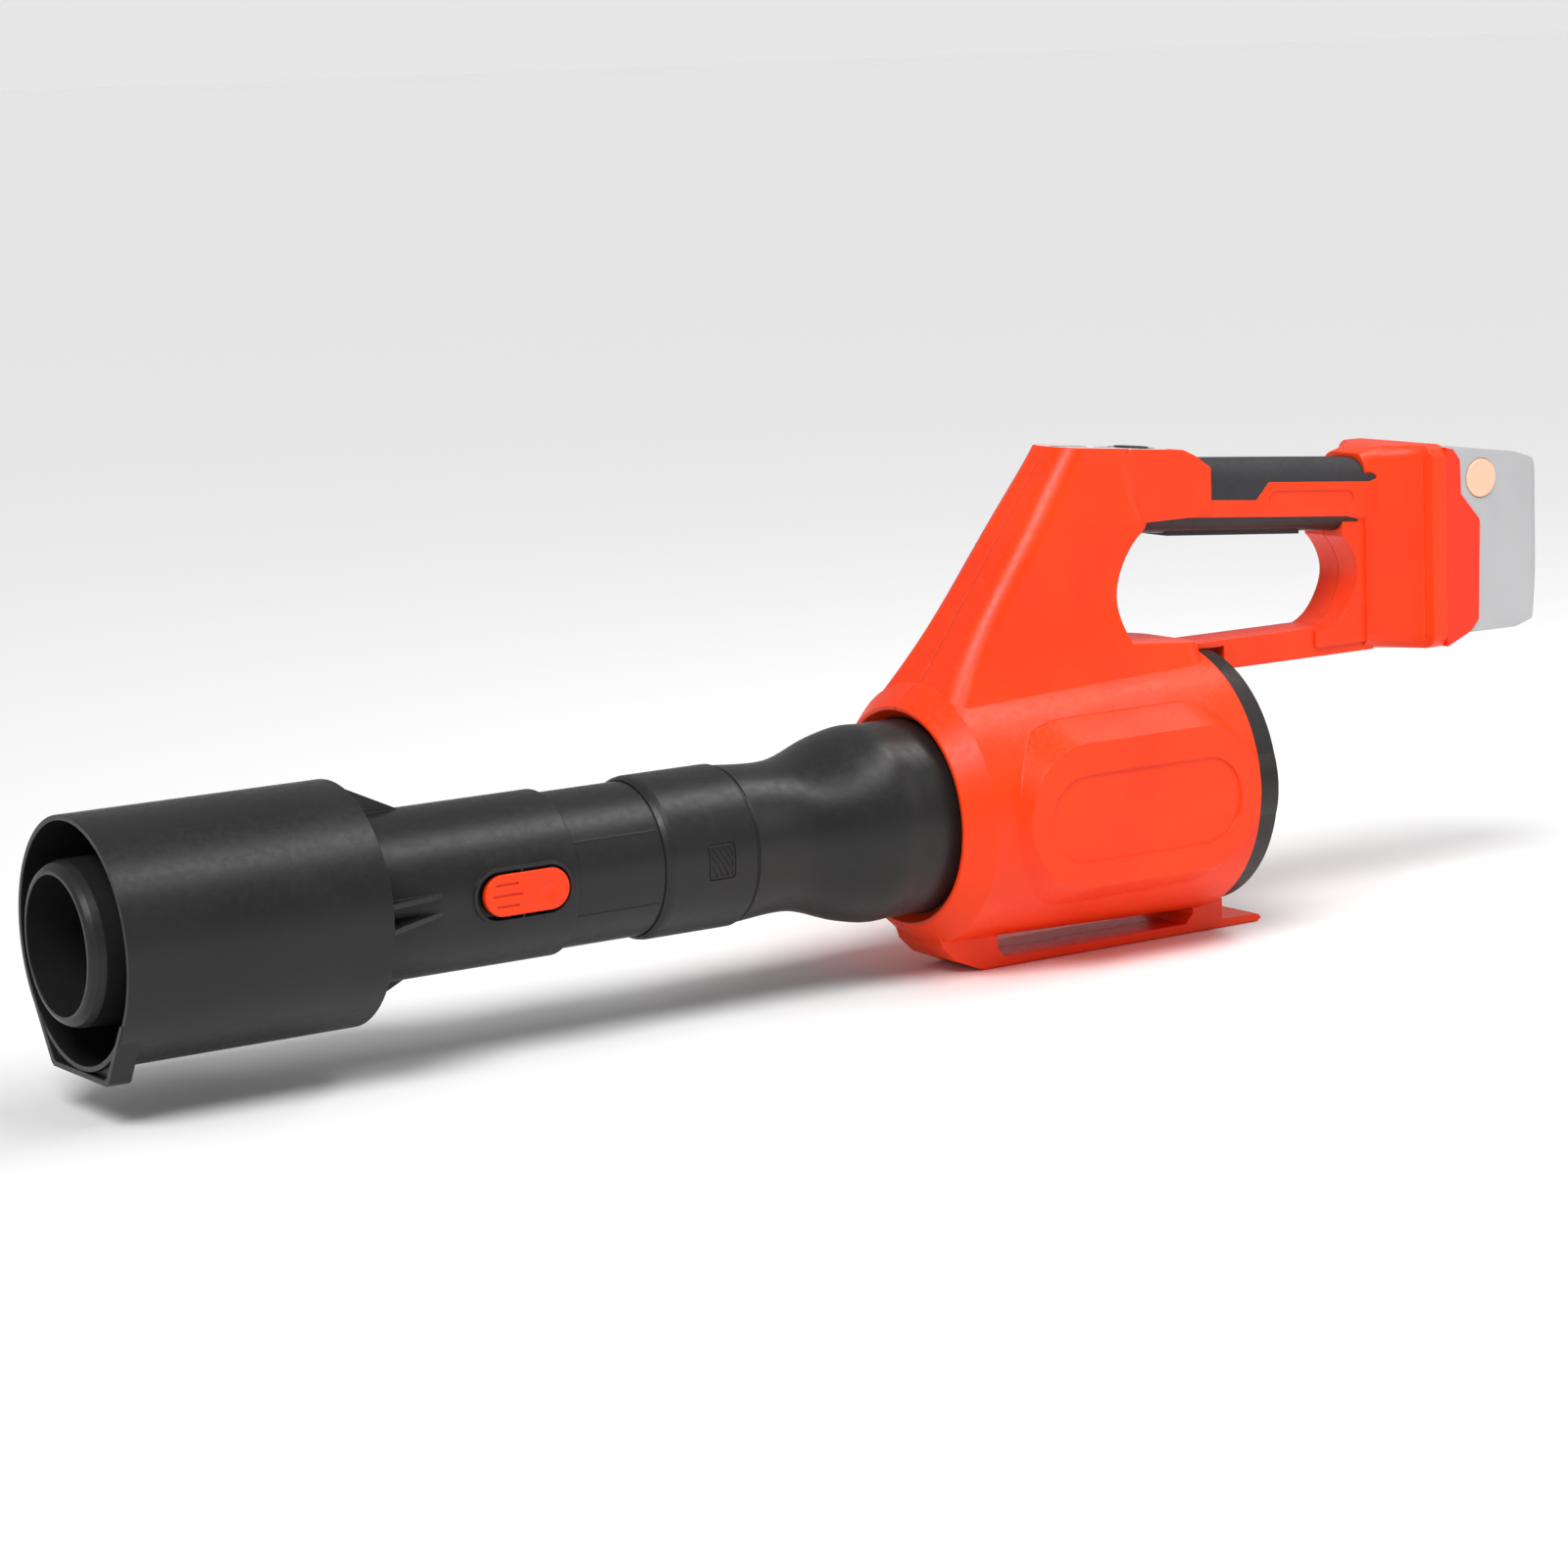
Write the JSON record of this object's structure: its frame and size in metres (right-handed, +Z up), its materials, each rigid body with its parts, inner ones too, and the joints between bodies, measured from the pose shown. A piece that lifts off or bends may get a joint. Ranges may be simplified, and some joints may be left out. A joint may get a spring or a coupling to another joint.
{
  "type": "leaf blower",
  "caption": "Cordless axial leaf blower with a shrouded nozzle, looped handle with trigger, strap-slot foot and slide-in battery pack.",
  "frame": {"origin": "centre of the footprint box at the underside of the foot", "axes": "+X along the air tube from the nozzle towards the battery, +Z up"},
  "size_m": [0.8739, 0.146, 0.2628],
  "materials": {
    "orange_shell": "satin moulded",
    "red_frame": "satin moulded",
    "black_tube": "satin moulded",
    "black_trim": "satin moulded",
    "soft_grip": "soft matte",
    "pale_panel": "printed film",
    "battery_grey": "fine matte",
    "battery_button": "satin",
    "steel": "turned",
    "core_steel": "laminated",
    "copper": "enamelled",
    "aluminium": "milled",
    "board_green": "solder mask",
    "seal_rubber": "matte",
    "fan_plastic": "satin",
    "wire_red": "insulation",
    "cell_metal": "wrapped",
    "lamp": "clear"
  },
  "bodies": {
    "housing": {"rear_tube": "black_tube", "tube_seal": "seal_rubber", "grip_cover": "soft_grip", "grip_trim": "black_trim", "housing_left": "orange_shell", "housing_right": "orange_shell", "intake_grille": "black_trim", "fan_duct": "fan_plastic", "duct_cushions": "seal_rubber", "duct_tail_cone": "fan_plastic", "motor_core": "core_steel", "motor_windings": "copper", "motor_end_plate": "aluminium", "motor_front_plate": "aluminium", "motor_bearings": "steel", "trigger_pin": "steel", "trigger_switch": "black_trim", "controller_board": "board_green", "board_capacitors": "aluminium", "board_heat_sink": "aluminium", "control_panel": "pale_panel", "charge_lights": "lamp", "housing_screws": "steel", "battery_socket": "red_frame", "terminal_block": "black_trim", "terminal_blades": "copper", "battery_leads": "wire_red"},
    "nozzle": {"nozzle": "black_tube", "latch_pin": "steel"},
    "latch": {"latch_button": "orange_shell"},
    "front_tube": {"front_tube": "black_tube"},
    "fan": {"fan_impeller": "fan_plastic", "impeller_nut": "steel", "motor_shaft": "steel", "motor_rotor": "core_steel"},
    "trigger": {"trigger": "black_trim"},
    "boost_button": {"boost_button": "soft_grip"},
    "battery": {"battery_case": "battery_grey", "battery_stem": "battery_grey", "battery_contacts": "copper", "battery_cells": "cell_metal", "battery_board": "board_green"},
    "release_left": {"battery_release_left": "battery_button"},
    "release_right": {"battery_release_right": "battery_button"}
  },
  "joints": [
    {"name": "front_tube_pull", "type": "slide", "parent": "housing", "child": "front_tube", "axis": [-1, 0, 0], "range_m": [0, 0.055]},
    {"name": "nozzle_pull", "type": "slide", "parent": "front_tube", "child": "nozzle", "axis": [-1, 0, 0], "range_m": [0, 0.095]},
    {"name": "latch_press", "type": "hinge", "parent": "nozzle", "child": "latch", "pos_m": [-0.217, -0.0402, 0.082], "axis": [0, 0, -1], "range_deg": [0, 3], "stiffness_Nm_per_rad": 0.6},
    {"name": "fan_spin", "type": "hinge", "parent": "housing", "child": "fan", "pos_m": [0.131, 0, 0.082], "axis": [1, 0, 0], "continuous": true},
    {"name": "trigger_squeeze", "type": "hinge", "parent": "housing", "child": "trigger", "pos_m": [0.282, 0, 0.2115], "axis": [0, 1, 0], "range_deg": [0, 4.5], "stiffness_Nm_per_rad": 4, "springref_deg": -5.73},
    {"name": "boost_press", "type": "slide", "parent": "housing", "child": "boost_button", "axis": [-0.0917, 0, -0.9958], "range_m": [0, 0.0006], "stiffness_N_per_m": 900, "springref_m": -0.0006},
    {"name": "battery_pull", "type": "slide", "parent": "housing", "child": "battery", "axis": [1, 0, 0], "range_m": [0, 0.045]},
    {"name": "release_left_press", "type": "slide", "parent": "battery", "child": "release_left", "axis": [0, 1, 0], "range_m": [0, 0.0015], "stiffness_N_per_m": 800, "springref_m": -0.001},
    {"name": "release_right_press", "type": "slide", "parent": "battery", "child": "release_right", "axis": [0, -1, 0], "range_m": [0, 0.0015], "stiffness_N_per_m": 800, "springref_m": -0.001}
  ]
}
